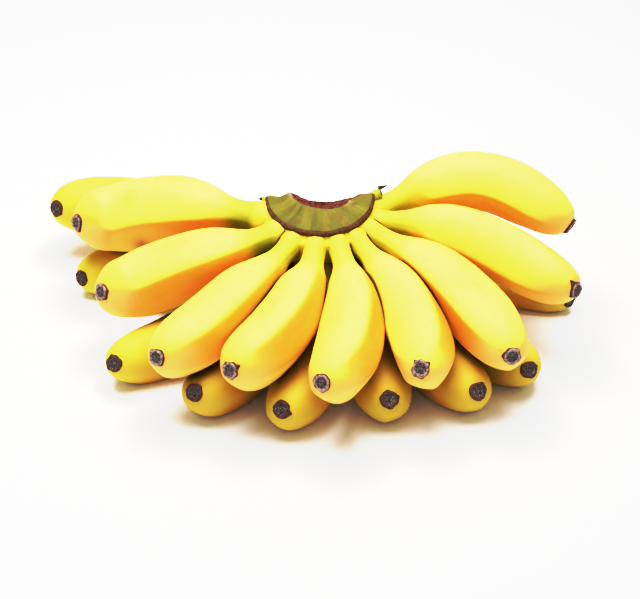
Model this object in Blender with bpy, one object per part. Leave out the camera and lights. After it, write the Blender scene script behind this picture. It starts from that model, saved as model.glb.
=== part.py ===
"""A hand of eighteen small bananas, lying on its lower row with the crown up and the tips toward -Y.

The origin is on the surface that the hand lies on, below the middle of its outline seen from above.
The shapes are worked out from the crown's axis, which CROWN_AXIS then carries to its place.
A heading of 0 degrees points to -Y and grows toward +X. A pitch is measured up from level.
"""
import bmesh
import bpy
import math
from collections import namedtuple

import numpy as np

# Driving dimensions, in metres and degrees.
CROWN_AXIS = (0.00573, 0.02177, 0.0)
FINGER_RADIUS = 0.0155
ROOT_RADIUS = 0.028
# The share of a finger's spine that lies inside the crown.
ROOT_START = 0.03
ROOT_HEIGHT = {"upper": 0.0615, "lower": 0.0485}
NECK_GAP = 0.0007
BODY_GAP = 0.0012
END_RADIUS = 0.0043
END_LENGTH = 0.0020
END_GAP = 0.0004
END_HOLLOW = 0.0006
END_TAPER = 0.9
END_RIM = 0.3

# A finger's radius along its length, as shares of the length and of FINGER_RADIUS.
GIRTH_STATIONS = (
    0.00, 0.03, 0.08, 0.14, 0.19, 0.25, 0.33, 0.42, 0.52, 0.62, 0.72, 0.80, 0.87, 0.92, 0.96, 0.985, 1.0
)
GIRTH_SHARES = (
    0.36, 0.345, 0.335, 0.37, 0.47, 0.64, 0.82, 0.93, 0.985, 1.0, 0.99, 0.945, 0.86, 0.755, 0.61, 0.46, 0.28
)

# Some necks and tips are thicker: by this share, round this station and for this reach.
SWELLINGS = {
    ("upper", 1): ((0.20, 0.08, 0.11), (0.09, 0.93, 0.06)),
    ("upper", 2): ((0.10, 0.10, 0.10), (0.06, 0.93, 0.06)),
    ("upper", 7): ((0.12, 0.19, 0.12),),
    ("upper", 8): ((0.22, 0.19, 0.12),),
    ("upper", 9): ((0.22, 0.19, 0.14),),
    ("lower", 1): ((0.045, 0.93, 0.06),),
}

# How five-sided a finger is along its length: 0 is round.
SIDE_STATIONS = (0.0, 0.1, 0.2, 0.4, 0.8, 0.95, 1.0)
SIDE_SHARES = (0.1, 0.3, 0.8, 0.6, 0.6, 0.7, 0.4)
FLATS = 5
FLAT_SHARPNESS = 7
FLATS_MEAN = 1.045

# Each finger: heading of its root on the crown, heading and pitch of its stem, middle of its dried end,
# heading and pitch of its tip, girth, and how far the stem's and the tip's directions reach along it.
Finger = namedtuple(
    "Finger",
    "row number root heading pitch tip tip_heading tip_pitch girth stem_reach tip_reach",
    defaults=(0.42, 0.36),
)
FINGERS = (
    Finger("upper", 1, -80, -106, 3, (-0.1286, 0.0150, 0.0469), -56, 13, 1.17, 0.45, 0.37),
    Finger("upper", 2, -47, -64, -3, (-0.1106, -0.0433, 0.0426), -49, 20, 1.11, 0.46, 0.355),
    Finger("upper", 3, -26, -33, -10, (-0.079, -0.099, 0.042), -37, 18, 1.03),
    Finger("upper", 4, -4, -6, -14, (-0.0435, -0.111, 0.043), -37, 15, 1.02),
    Finger("upper", 5, 16, 20, -14, (0.0, -0.122, 0.044), -32, 23, 1.0),
    Finger("upper", 6, 35, 42, -14, (0.047, -0.1105, 0.044), -18, 30, 0.98),
    Finger("upper", 7, 55, 64, -13, (0.092, -0.100, 0.043), 12, 12, 1.0),
    Finger("upper", 8, 74, 91, 1, (0.1285, -0.049, 0.047), 48, 4, 0.95, 0.50),
    Finger("upper", 9, 97, 116, 15, (0.130, -0.002, 0.0545), 60, -24, 0.95, 0.55, 0.45),
    Finger("lower", 1, -95, -118, -10, (-0.1439, 0.0514, 0.0337), -40, 19, 1.10, 0.30, 0.43),
    Finger("lower", 2, -65, -86, -34, (-0.128, 0.0127, 0.0135), -44, 9, 1.02),
    Finger("lower", 3, -38, -58, -40, (-0.103, -0.071, 0.0182), -32, 23, 0.97),
    Finger("lower", 4, -15, -21, -47, (-0.0615, -0.0985, 0.0215), -26, 36, 0.97),
    Finger("lower", 5, 6, 0, -50, (-0.019, -0.111, 0.0205), -22, 33, 0.97),
    Finger("lower", 6, 26, 20, -50, (0.0335, -0.1035, 0.0208), 4, 38, 0.97),
    Finger("lower", 7, 45, 39, -44, (0.077, -0.0965, 0.0205), 20, 33, 0.97),
    Finger("lower", 8, 64, 58, -42, (0.1038, -0.0765, 0.0185), 20, 24, 0.97),
    Finger("lower", 9, 86, 102, -34, (0.133, -0.0017, 0.009), 50, -2, 0.93),
)

# The crown's outline at its front, from the middle of its underside to the middle of its cut face.
CROWN_OUTLINE = (
    (0.0, 0.0405),
    (0.010, 0.0395),
    (0.019, 0.0410),
    (0.0250, 0.0450),
    (0.0290, 0.0500),
    (0.0303, 0.0560),
    (0.0305, 0.0640),
    (0.0289, 0.0701),
    (0.0295, 0.0707),
    (0.0298, 0.0715),
    (0.0294, 0.0725),
    (0.0284, 0.0730),
    (0.0215, 0.0728),
    (0.0165, 0.0734),
    (0.0148, 0.0736),
    (0.0136, 0.0728),
    (0.0060, 0.0674),
    (0.0, 0.0656),
)
RIM_POINTS = slice(2, 10)
CUT_RADIUS = 0.0148
BACK_STARTS = 98
BACK_ENDS = 155
BACK_DEPTH = 0.55
# Behind the axis the crown was cut away on a slope: how steep it is, from what height it begins, and the
# height over which it grows.
SLOPE = 0.75
SLOPE_HEIGHT = 0.050
SLOPE_RISE = 0.022
# The cut also falls toward +X, all the way inside CUT_RADIUS and not at all outside TILT_END.
CUT_TILT = 0.12
TILT_END = 0.0222
# How much the cut and the ring lean along Y: the cut rises toward the front, and the ring falls.
LEAN_RADII = (0.0148, 0.0280)
LEANS = (-0.11, 0.10)
LEAN_HEIGHTS = (0.0640, 0.0701)
LEAN_BACK = 0.006
# The crown is longer toward the front than to the sides.
CROWN_OVAL = 0.055

# The undeveloped finger at the crown's right end.
STUB_ROOT = (0.0225, 0.0023, 0.0682)
STUB_END = (0.0314, 0.0050, 0.0727)
STUB_RADII = (0.0026, 0.0023)
STUB_TIP_LENGTH = 0.0030
STUB_TIP_RADIUS = 0.0010

FINGER_SIDES = 14
FINGER_BANDS = 17
CROWN_SIDES = 32
END_SIDES = 10
STUB_SIDES = 10
SPINE_SAMPLES = 60
WALK_SAMPLES = 400
HALVINGS = 20
# How far a finger's root may slide to meet the crown.
ROOT_TRAVEL = 0.012
# The turn of a finger's first ring of points, in radians: more is a wider spacing at both ends.
FIRST_TURN = 0.35

COLOURS = {
    "upper": (0.87, 0.71, 0.06),
    "lower": (0.80, 0.55, 0.04),
    "crown": (0.30, 0.36, 0.05),
    "dried": (0.045, 0.025, 0.020),
}


def unit(v):
    return v / np.linalg.norm(v, axis=-1, keepdims=True)


def direction(heading, pitch):
    h = math.radians(heading)
    p = math.radians(pitch)
    return np.array([math.sin(h) * math.cos(p), -math.cos(h) * math.cos(p), math.sin(p)])


def ease(x, start, end):
    t = np.clip((x - start) / (end - start), 0.0, 1.0)
    return t * t * (3 - 2 * t)


def smooth_curve(x, stations, values):
    """A monotone cubic through the points, so that it never bulges between them."""
    px = np.array(stations)
    py = np.array(values)
    step = np.diff(px)
    slope = np.diff(py) / step
    knot = np.empty(len(px))
    product = slope[:-1] * slope[1:]
    knot[1:-1] = np.where(product > 0, 2 * product / (slope[:-1] + slope[1:] + 1e-12), 0)
    knot[0] = slope[0]
    knot[-1] = slope[-1]
    i = np.clip(np.searchsorted(px, x, side="right") - 1, 0, len(px) - 2)
    t = (x - px[i]) / step[i]
    start = (2 * t**3 - 3 * t**2 + 1) * py[i] + (t**3 - 2 * t**2 + t) * step[i] * knot[i]
    end = (3 * t**2 - 2 * t**3) * py[i + 1] + (t**3 - t**2) * step[i] * knot[i + 1]
    return start + end


def five_sided(angle):
    """How far a soft five-sided outline lies from its middle, with a flat on top and a mean of 1."""
    flats = np.arange(FLATS) * 2 * np.pi / FLATS
    reach = np.maximum(np.cos(angle[..., None] - flats), 0.0) ** FLAT_SHARPNESS
    shape = reach.sum(-1) ** (-1 / FLAT_SHARPNESS)
    return shape / FLATS_MEAN


class Body:
    """One finger's bent body: its spine, the radius along it and the frame that carries its sections."""

    def __init__(self, finger):
        self.girth = finger.girth
        self.swellings = SWELLINGS.get((finger.row, finger.number), ())
        root = direction(finger.root, 0) * ROOT_RADIUS
        root[2] = ROOT_HEIGHT[finger.row]
        self.stem = direction(finger.heading, finger.pitch)
        self.end = direction(finger.tip_heading, finger.tip_pitch)
        tip = np.array(finger.tip) - self.end * (END_LENGTH + END_GAP)
        chord = np.linalg.norm(tip - root)
        leave = root + self.stem * chord * finger.stem_reach
        arrive = tip - self.end * chord * finger.tip_reach
        self.points = (root, leave, arrive, tip)
        self.fine = np.linspace(0, 1, WALK_SAMPLES)
        walk = np.linalg.norm(np.diff(self.place(self.fine)[0], axis=0), axis=1)
        self.shares = np.concatenate([[0], np.cumsum(walk)]) / walk.sum()
        stations = np.linspace(0, 1, SPINE_SAMPLES)
        self.spine = self.place(np.interp(stations, self.shares, self.fine))[0]
        self.radii = self.radius(stations)

    def place(self, t):
        """Points and directions of the spine, a cubic Bezier curve."""
        a, b, c, d = self.points
        t = t[:, None]
        s = 1 - t
        point = s**3 * a + 3 * s * s * t * b + 3 * s * t * t * c + t**3 * d
        along = 3 * s * s * (b - a) + 6 * s * t * (c - b) + 3 * t * t * (d - c)
        return point, unit(along)

    def radius(self, station):
        swelling = 1.0
        for growth, place, reach in self.swellings:
            swelling = swelling * (1 + growth * np.exp(-(((station - place) / reach) ** 2)))
        return FINGER_RADIUS * self.girth * smooth_curve(station, GIRTH_STATIONS, GIRTH_SHARES) * swelling

    def sections(self, station, angle):
        """Middle, outward direction and reach of the skin at each station and angle round the spine."""
        middle, along = self.place(np.interp(station, self.shares, self.fine))
        top = np.array([0.0, 0.0, 1.0])
        top = unit(top - (along @ top)[:, None] * along)
        side = np.cross(along, top)
        outward = top * np.cos(angle)[:, None] + side * np.sin(angle)[:, None]
        softness = np.interp(station, SIDE_STATIONS, SIDE_SHARES)
        reach = self.radius(station) * (1 + softness * (five_sided(angle) - 1))
        return middle, outward, reach

    def clearance(self, points):
        """Distance from each point to this finger's skin, taken as round, and below zero inside it."""
        start = self.spine[:-1]
        step = np.diff(self.spine, axis=0)
        offset = points[:, None] - start
        along = np.clip((offset * step).sum(2) / (step * step).sum(1), 0, 1)
        gap = np.linalg.norm(offset - along[..., None] * step, axis=2)
        return (gap - self.radii[:-1] - along * np.diff(self.radii)).min(1)


def pressed(middle, outward, reach, others):
    """The reach of each point, drawn in where another finger or the surface below presses on it.

    Two fingers that would cross meet halfway, BODY_GAP apart.
    """
    result = reach.copy()
    for other in others:
        crossing = other.clearance(middle + outward * reach[:, None]) < BODY_GAP
        if not crossing.any():
            continue
        low = np.zeros(crossing.sum())
        high = reach[crossing]
        full = reach[crossing]
        for _ in range(HALVINGS):
            trial = (low + high) / 2
            room = other.clearance(middle[crossing] + outward[crossing] * trial[:, None])
            free = trial - full + BODY_GAP <= room
            low = np.where(free, trial, low)
            high = np.where(free, high, trial)
        result[crossing] = np.minimum(result[crossing], low)
    fall = np.maximum(-outward[:, 2], 1e-9)
    return np.minimum(result, middle[:, 2] / fall)


def side_share(heading):
    """How far out the crown's side lies at a heading, as a share of its outline's radius."""
    away = np.abs(np.degrees(heading))
    oval = np.where(away < 90, np.cos(2 * heading), -1)
    return (1 - BACK_DEPTH * ease(away, BACK_STARTS, BACK_ENDS)) * (1 + CROWN_OVAL * oval)


def crown_point(radius, height, heading):
    """A point of the crown's outline carried round to a heading, with the slope behind the axis."""
    r = radius * side_share(heading)
    x = r * np.sin(heading)
    y = -r * np.cos(heading)
    fall = SLOPE * np.maximum(y, 0) * np.clip((height - SLOPE_HEIGHT) / SLOPE_RISE, 0, 1)
    tilt = CUT_TILT * x * ease(radius, TILT_END, CUT_RADIUS)
    lean = np.interp(radius, LEAN_RADII, LEANS) * ease(height, *LEAN_HEIGHTS)
    return np.stack([x, y, height - fall - tilt + lean * np.minimum(y, LEAN_BACK)], -1)


def rim_radius(heading, height):
    """Radius of the crown's side, where the fingers grow from it."""
    rim = np.array(CROWN_OUTLINE[RIM_POINTS])
    above = np.maximum(height - SLOPE_HEIGHT, 0)
    behind = np.maximum(-rim[:, 0].max() * side_share(heading) * np.cos(heading), 0)
    unsloped = height - above + above / (1 - SLOPE * behind / SLOPE_RISE)
    return np.interp(unsloped, rim[:, 1], rim[:, 0]) * side_share(heading)


def seated(points, along):
    """Root points slid along the stem's direction until they lie NECK_GAP off the crown's side."""
    low = np.full(len(points), -ROOT_TRAVEL)
    high = np.full(len(points), ROOT_TRAVEL)
    for _ in range(HALVINGS):
        trial = (low + high) / 2
        moved = points + along * trial[:, None]
        heading = np.arctan2(moved[:, 0], -moved[:, 1])
        outside = np.hypot(moved[:, 0], moved[:, 1]) > rim_radius(heading, moved[:, 2]) + NECK_GAP
        high = np.where(outside, trial, high)
        low = np.where(outside, low, trial)
    return points + along * high[:, None]


def new_material(name, colour, roughness):
    material = bpy.data.materials.new(name)
    material.use_nodes = True
    shader = material.node_tree.nodes["Principled BSDF"]
    shader.inputs["Base Color"].default_value = (*colour, 1.0)
    shader.inputs["Roughness"].default_value = roughness
    shader.inputs["Metallic"].default_value = 0.0
    return material


def add_object(name, bm, material, collection, parent):
    mesh = bpy.data.meshes.new(name)
    bm.to_mesh(mesh)
    bm.free()
    mesh.materials.append(material)
    mesh.shade_smooth()
    obj = bpy.data.objects.new(name, mesh)
    obj.parent = parent
    collection.objects.link(obj)
    return obj


def ball(sides, bands):
    """A ball whose points are then carried to their places, with each point's band and angle."""
    bm = bmesh.new()
    bmesh.ops.create_uvsphere(bm, u_segments=sides, v_segments=bands, radius=1.0)
    points = np.array([v.co for v in bm.verts])
    band = np.rint(np.arccos(np.clip(-points[:, 2], -1, 1)) / np.pi * bands).astype(int)
    angle = np.arctan2(points[:, 1], points[:, 0])
    return bm, band, angle


def move_points(bm, places):
    for vert, place in zip(bm.verts, places):
        vert.co = place


def finger_shape(body, others):
    """A finger: the poles of the ball are the middles of its flat ends, where the bands lie closer."""
    bm, band, angle = ball(FINGER_SIDES, FINGER_BANDS)
    last = FINGER_BANDS - 2
    turn = FIRST_TURN + (np.pi - 2 * FIRST_TURN) * np.clip(band - 1, 0, last) / last
    share = (1 - np.cos(turn) / math.cos(FIRST_TURN)) / 2
    station = ROOT_START + (1 - ROOT_START) * share
    pole = (band == 0) | (band == FINGER_BANDS)
    middle, outward, reach = body.sections(station, angle + np.pi / FINGER_SIDES)
    reach = pressed(middle, outward, np.where(pole, 0, reach), others)
    places = middle + outward * reach[:, None]
    root = band <= 1
    places[root] = seated(places[root], np.repeat(body.stem[None], root.sum(), axis=0))
    move_points(bm, places)
    return bm


def dried_end_shape(body):
    """The dried end of a finger: a short stub with a hollow in its face."""
    bm = bmesh.new()
    narrow = END_TAPER * END_RADIUS
    bmesh.ops.create_cone(
        bm, cap_ends=True, segments=END_SIDES, radius1=END_RADIUS, radius2=narrow, depth=END_LENGTH
    )
    face = max(bm.faces, key=lambda f: f.calc_center_median().z)
    bmesh.ops.inset_individual(bm, faces=[face], thickness=END_RIM * END_RADIUS)
    bmesh.ops.translate(bm, verts=face.verts, vec=(0, 0, -END_HOLLOW))
    tip = body.points[3]
    middle = tip + body.end * (END_GAP + END_LENGTH / 2)
    top = unit(np.array([0.0, 0.0, 1.0]) - body.end[2] * body.end)
    side = np.cross(body.end, top)
    local = np.array([v.co for v in bm.verts])
    move_points(bm, middle + local[:, :1] * top + local[:, 1:2] * side + local[:, 2:] * body.end)
    return bm


def crown_shape():
    bm, band, angle = ball(CROWN_SIDES, len(CROWN_OUTLINE) - 1)
    outline = np.array(CROWN_OUTLINE)
    move_points(bm, crown_point(outline[band, 0], outline[band, 1], angle))
    bmesh.ops.recalc_face_normals(bm, faces=bm.faces)
    return bm


def peg_shape(start, end, radii):
    """A short tapering peg between two points."""
    start = np.array(start)
    end = np.array(end)
    bm = bmesh.new()
    length = np.linalg.norm(end - start)
    bmesh.ops.create_cone(
        bm, cap_ends=True, segments=STUB_SIDES, radius1=radii[0], radius2=radii[1], depth=length
    )
    along = unit(end - start)
    side = unit(np.cross([0.0, 0.0, 1.0], along))
    top = np.cross(along, side)
    local = np.array([v.co for v in bm.verts])
    middle = (start + end) / 2
    move_points(bm, middle + local[:, :1] * side + local[:, 1:2] * top + local[:, 2:] * along)
    return bm


def build_crown(hand, helpers, axis, green, dried):
    """The crown with its undeveloped finger grown into it, and that finger's dried tip."""
    crown = add_object("crown", crown_shape(), green, hand, axis)
    stub = add_object("stub", peg_shape(STUB_ROOT, STUB_END, STUB_RADII), green, helpers, axis)
    stub.hide_render = True
    stub.display_type = "WIRE"
    union = crown.modifiers.new("stub", "BOOLEAN")
    union.operation = "UNION"
    union.object = stub
    along = unit(np.array(STUB_END) - np.array(STUB_ROOT))
    tip_start = np.array(STUB_END) + along * END_GAP
    tip_end = tip_start + along * STUB_TIP_LENGTH
    tip = peg_shape(tip_start, tip_end, (STUB_RADII[1], STUB_TIP_RADIUS))
    add_object("stub_dried_tip", tip, dried, hand, axis)


def main():
    for obj in list(bpy.data.objects):
        bpy.data.objects.remove(obj)
    hand = bpy.data.collections.new("banana_hand")
    helpers = bpy.data.collections.new("helpers")
    bpy.context.scene.collection.children.link(hand)
    bpy.context.scene.collection.children.link(helpers)
    axis = bpy.data.objects.new("crown_axis", None)
    axis.location = CROWN_AXIS
    hand.objects.link(axis)
    skins = {row: new_material(row + "_skin", COLOURS[row], 0.45) for row in ("upper", "lower")}
    green = new_material("crown_skin", COLOURS["crown"], 0.55)
    dried = new_material("dried", COLOURS["dried"], 0.85)

    build_crown(hand, helpers, axis, green, dried)
    bodies = [Body(finger) for finger in FINGERS]
    for finger, body in zip(FINGERS, bodies):
        others = [other for other in bodies if other is not body]
        name = f"{finger.row}_{finger.number}"
        add_object("banana_" + name, finger_shape(body, others), skins[finger.row], hand, axis)
        add_object("dried_end_" + name, dried_end_shape(body), dried, hand, axis)


main()
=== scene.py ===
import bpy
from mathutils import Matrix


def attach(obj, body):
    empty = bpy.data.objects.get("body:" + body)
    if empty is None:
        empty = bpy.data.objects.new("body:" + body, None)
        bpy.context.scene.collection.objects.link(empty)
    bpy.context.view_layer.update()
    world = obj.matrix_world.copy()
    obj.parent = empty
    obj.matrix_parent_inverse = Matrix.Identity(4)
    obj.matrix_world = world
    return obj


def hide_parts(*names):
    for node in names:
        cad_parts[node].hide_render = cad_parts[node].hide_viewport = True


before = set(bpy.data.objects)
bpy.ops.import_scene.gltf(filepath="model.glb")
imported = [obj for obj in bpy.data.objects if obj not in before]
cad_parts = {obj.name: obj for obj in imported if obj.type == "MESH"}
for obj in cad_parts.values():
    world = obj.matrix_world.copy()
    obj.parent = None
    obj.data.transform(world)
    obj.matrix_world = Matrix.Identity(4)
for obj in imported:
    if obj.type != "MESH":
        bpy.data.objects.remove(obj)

"""The looks of a hand of eighteen small bananas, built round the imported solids.

Every peel, dried end and the crown is a finer piece that stands for its solid. The shapes are worked out
from the crown's axis, as the solids are, and then carried to its place. A heading of 0 degrees points to -Y
and grows toward +X, and a pitch is measured up from level. Lengths are in metres and angles in degrees. A
station is a place along a finger, from 0 at its root to 1 at its tip.
"""
import math
from collections import namedtuple

import bpy
import numpy as np
from mathutils import Vector

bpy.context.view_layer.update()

# The hand's driving values, the same as the solids have.
CROWN_AXIS = np.array((0.00573, 0.02177, 0.0))
FINGER_RADIUS = 0.0155
ROOT_RADIUS = 0.028
ROOT_HEIGHT = {"upper": 0.0615, "lower": 0.0485}
END_LENGTH = 0.0020
END_GAP = 0.0004
# How far the skins of two fingers stay apart where they press on each other.
BODY_GAP = 0.0003

# A finger's girth: station, and share of its full radius.
GIRTH = (
    (0.0, 0.36),
    (0.03, 0.345),
    (0.08, 0.335),
    (0.14, 0.37),
    (0.19, 0.47),
    (0.25, 0.64),
    (0.33, 0.82),
    (0.42, 0.93),
    (0.52, 0.985),
    (0.62, 1.0),
    (0.72, 0.99),
    (0.80, 0.945),
    (0.87, 0.86),
    (0.92, 0.755),
    (0.96, 0.61),
    (0.985, 0.46),
    (1.0, 0.28),
)
# Some necks and tips are thicker: by this share, round this station and for this reach.
SWELLINGS = {
    ("upper", 1): ((0.20, 0.08, 0.11), (0.09, 0.93, 0.06)),
    ("upper", 2): ((0.10, 0.10, 0.10), (0.06, 0.93, 0.06)),
    ("upper", 7): ((0.12, 0.19, 0.12),),
    ("upper", 8): ((0.22, 0.19, 0.12),),
    ("upper", 9): ((0.22, 0.19, 0.14),),
    ("lower", 1): ((0.045, 0.93, 0.06),),
}

# A section's faces: where each points round the spine, and how far out it lies. The five in the middle make
# one broad, gently rounded face on top.
FACES = (
    (-143, 1.0),
    (-85, 1.0),
    (-30, 1.08),
    (-15, 1.02),
    (0, 1.0),
    (15, 1.02),
    (30, 1.08),
    (85, 1.0),
    (143, 1.0),
)
FACE_SHARPNESS = 16
# How clearly the faces show along each row's fingers, from 0, where a section is round, to 1.
FACE_STATIONS = (0.0, 0.1, 0.2, 0.4, 0.7, 0.9, 1.0)
FACE_SHARES = {
    "upper": (0.1, 0.3, 0.7, 1.0, 0.95, 0.55, 0.2),
    "lower": (0.1, 0.3, 0.6, 0.8, 0.55, 0.25, 0.1),
}

# The roots run on into the crown and widen there, so that neighbours meet in creases under the ring.
ROOT_DEPTH = 0.007
FLARE = 0.28
FLARE_REACH = 0.075

# Each finger: the heading of its root on the crown, the heading and pitch of its stem, its tip's place from
# the crown's axis, the heading and pitch of the tip, its share of the usual girth, the roll of its faces, and
# how far the stem and the tip keep their directions, as shares of the way from root to tip.
Finger = namedtuple(
    "Finger",
    "row number root heading pitch tip tip_heading tip_pitch girth roll stem_reach tip_reach",
    defaults=(0.42, 0.36),
)
FINGERS = (
    Finger("upper", 1, -80, -106, 3, (-0.1286, 0.0150, 0.0469), -56, 13, 1.17, 25, 0.45, 0.37),
    Finger("upper", 2, -47, -64, -3, (-0.1106, -0.0433, 0.0426), -49, 20, 1.11, 7, 0.46, 0.355),
    Finger("upper", 3, -26, -33, -10, (-0.079, -0.099, 0.042), -37, 18, 1.03, -7),
    Finger("upper", 4, -4, -6, -14, (-0.0435, -0.111, 0.043), -37, 15, 1.02, -21),
    Finger("upper", 5, 16, 20, -14, (0.0, -0.122, 0.044), -32, 23, 1.0, -22),
    Finger("upper", 6, 35, 42, -14, (0.047, -0.1105, 0.044), -18, 30, 0.98, -26),
    Finger("upper", 7, 55, 64, -13, (0.092, -0.100, 0.043), 12, 12, 1.0, -7),
    Finger("upper", 8, 74, 91, 1, (0.1285, -0.049, 0.047), 48, 4, 0.95, -41, 0.50),
    Finger("upper", 9, 97, 116, 15, (0.130, -0.002, 0.0545), 60, -24, 0.95, -33, 0.55, 0.45),
    Finger("lower", 1, -95, -118, -10, (-0.1439, 0.0514, 0.0337), -40, 19, 1.10, 10, 0.30, 0.43),
    Finger("lower", 2, -65, -86, -34, (-0.128, 0.0127, 0.0135), -44, 9, 1.02, 0),
    Finger("lower", 3, -38, -58, -40, (-0.103, -0.071, 0.0182), -32, 23, 0.97, -30),
    Finger("lower", 4, -15, -21, -47, (-0.0615, -0.0985, 0.0215), -26, 36, 0.97, -30),
    Finger("lower", 5, 6, 0, -50, (-0.019, -0.111, 0.0205), -22, 33, 0.97, -10),
    Finger("lower", 6, 26, 20, -50, (0.0335, -0.1035, 0.0208), 4, 38, 0.97, 10),
    Finger("lower", 7, 45, 39, -44, (0.077, -0.0965, 0.0205), 20, 33, 0.97, -15),
    Finger("lower", 8, 64, 58, -42, (0.1038, -0.0765, 0.0185), 20, 24, 0.97, -15),
    Finger("lower", 9, 86, 102, -34, (0.133, -0.0017, 0.009), 50, -2, 0.93, -30),
)

# The peel's unevenness: lumps on the body, a fine grain all over, and lengthwise wrinkles at both ends.
LUMP_HEIGHT = 0.00030
LUMP_SIZE = 0.016
LUMPS_START = (0.1, 0.3)
GRAIN_HEIGHT = 0.00004
GRAIN_SIZE = 0.0035
WRINKLE_COUNT = 13
WRINKLE_HEIGHT = 0.00003
WRINKLE_SWAY = 2.5
WRINKLE_SWAY_SIZE = 0.012
NECK_WRINKLES_END = (0.12, 0.24)
TIP_WRINKLES_START = (0.955, 0.99)
TIP_WRINKLES = 0.7

# How far from a neighbour the skin is darkened with painted shade, in the crease between two fingers.
CREASE_SHADE_REACH = {"upper": 0.0020, "lower": 0.0065}
# The broad face on top ends at a ridge on each side, this far from its middle, where the peel turns from the
# lemon of a painted lit face with painted sheen to the warmer yellow of painted shade. Necks and tips have no
# ridge: there the painted shade comes in as the peel slopes down.
RIDGE = (46, 60)
RIDGE_STARTS = (0.17, 0.32)
RIDGE_ENDS = (0.97, 0.86)
SLOPE_TURNS = (0.85, 0.25)
# How much the lower fingers are a deeper amber: partly their own colour and partly painted shade under the
# upper row.
AMBER_AND_SHADE = {1: 0.0, 2: 0.0, 3: 0.4}
AMBER_AND_SHADE_USUAL = 1.0
# How green each finger's neck is, and the stations where the green comes and goes. The green is the neck's
# own, and on its underside also painted shade, the more so on the seventh to ninth upper fingers.
NECK_GREEN = {
    ("upper", 1): 1.0,
    ("upper", 2): 0.9,
    ("upper", 3): 0.55,
    ("upper", 7): 0.45,
    ("upper", 8): 0.55,
    ("upper", 9): 0.55,
}
NECK_GREEN_USUAL = 0.25
NECK_GREEN_STARTS = (0.02, 0.07)
NECK_GREEN_ENDS = (0.24, 0.12)
# Brown patches, most of them bruises: finger, station, turn round it from the top, size and strength.
BRUISES = (
    ("upper", 1, 0.68, -30, 0.0055, 0.45),
    # This one darkens the first upper finger's lower edge to brown.
    ("upper", 1, 0.65, -128, 0.0060, 0.9),
    ("lower", 1, 0.72, -12, 0.0060, 0.5),
)

# A dried end's profile, from under the peel's edge over the rim and into its rough middle: radius and height.
END_PROFILE = (
    (0.0036, -0.0012),
    (0.0043, -0.0004),
    (0.0045, 0.0004),
    (0.0044, 0.0009),
    (0.0039, 0.0015),
    (0.0033, 0.0016),
    (0.0028, 0.0012),
    (0.0023, 0.0008),
    (0.0015, 0.0008),
    (0.0006, 0.0010),
)
END_DEPTH = 0.0012
# The outer part of a dried end follows its finger's faces by this share, fading between two places on it.
END_CORNERS = 0.3
END_OUTER = (0.75, 0.3)
# How ragged its outline is, with this share of it in the middle, and how rough its face is: the height and
# size of the lumps, and what is added to the end's seed.
END_RAGGED = (0.00026, 0.0020, 10)
END_RAGGED_INSIDE = 0.4
END_ROUGHNESS = ((0.00012, 0.0010, 11), (0.00016, 0.0006, 12))
# Dried points round the blossom ends: turn from the top toward -X, and length.
SPIKES = {
    ("upper", 1): ((-135, 0.0018), (45, 0.0008)),
    ("upper", 4): ((-50, 0.0022), (60, 0.0008)),
    ("upper", 5): ((50, 0.0011),),
    ("upper", 6): ((48, 0.0011), (-48, 0.0011)),
    ("upper", 7): ((85, 0.0012),),
    ("upper", 8): ((20, 0.0026), (120, 0.0008)),
    ("upper", 9): ((120, 0.0014),),
    ("lower", 3): ((40, 0.0009),),
    ("lower", 5): ((-100, 0.0008),),
    ("lower", 6): ((-75, 0.0011), (10, 0.0005)),
    ("lower", 8): ((-80, 0.0010),),
}
# How wide a dried point is, in radians, its middle and reach on the profile, how far it hangs down along the
# peel for its length, and the length from which it has its full colour.
SPIKE_WIDTH = 0.20
SPIKE_PLACE = (0.20, 0.13)
SPIKE_FALL = 0.75
SPIKE_COLOURED = 0.0007

# The crown's outline, from the middle of its underside out to the ring and in to the cut's middle: radius
# and height. Below it are the numbers of some of its points.
CROWN_OUTLINE = (
    (0.0, 0.0405),
    (0.010, 0.0395),
    (0.019, 0.0410),
    (0.0250, 0.0450),
    (0.0300, 0.0500),
    (0.0325, 0.0560),
    (0.0330, 0.0640),
    (0.0289, 0.0701),
    (0.0295, 0.0707),
    (0.0298, 0.0715),
    (0.0294, 0.0725),
    (0.0284, 0.0730),
    (0.0215, 0.0728),
    (0.0165, 0.0734),
    (0.0148, 0.0736),
    (0.0136, 0.0728),
    (0.0060, 0.0684),
    (0.0, 0.0670),
)
COLLAR = 6
RING_FOOT = 7
RING_TOP = 10
RING_EDGE = 11
CUT_LIP = 13
CUT_EDGE = 14
# The crown is longer toward the front than to the sides, and drawn in at the back.
CROWN_OVAL = 0.055
BACK_HEADINGS = (98, 155)
BACK_DEPTH = 0.55
# Behind the axis the crown was cut away on a slope: how steep it is, from what height it begins, the height
# over which it grows, and how softly it sets in.
SLOPE = 0.75
SLOPE_HEIGHT = 0.050
SLOPE_RISE = 0.022
SLOPE_SOFTNESS = 0.001
# The cut falls to the right: how steeply, and the radii between which that sets in.
CUT_TILT = 0.12
TILT_RADII = (0.0222, 0.0148)
# How much the cut and the ring lean along Y, at two radii, up to how far back: the cut rises toward the
# front, and the ring falls.
LEAN_RADII = (0.0148, 0.0280)
LEANS = (-0.11, 0.10)
LEAN_BACK = 0.006
# At its right end the crown rises toward the undeveloped finger and dips beside the cut: by how much, round
# what radius and for what reach.
SHOULDER = (
    (0.0018, 0.0268, 0.0040),
    (-0.0020, 0.0172, 0.0028),
)
SHOULDER_HEADING = 95
SHOULDER_WIDTH = 30
# The cut's back edge dips in the middle: its height there, how fast it rises to both sides (per metre), where
# along X its middle is, and how steeply it rises to the front.
DIP_HEIGHT = 0.0696
DIP_CURVE = 17.6
DIP_MIDDLE = 0.0025
DIP_FRONT = 1.5
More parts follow.
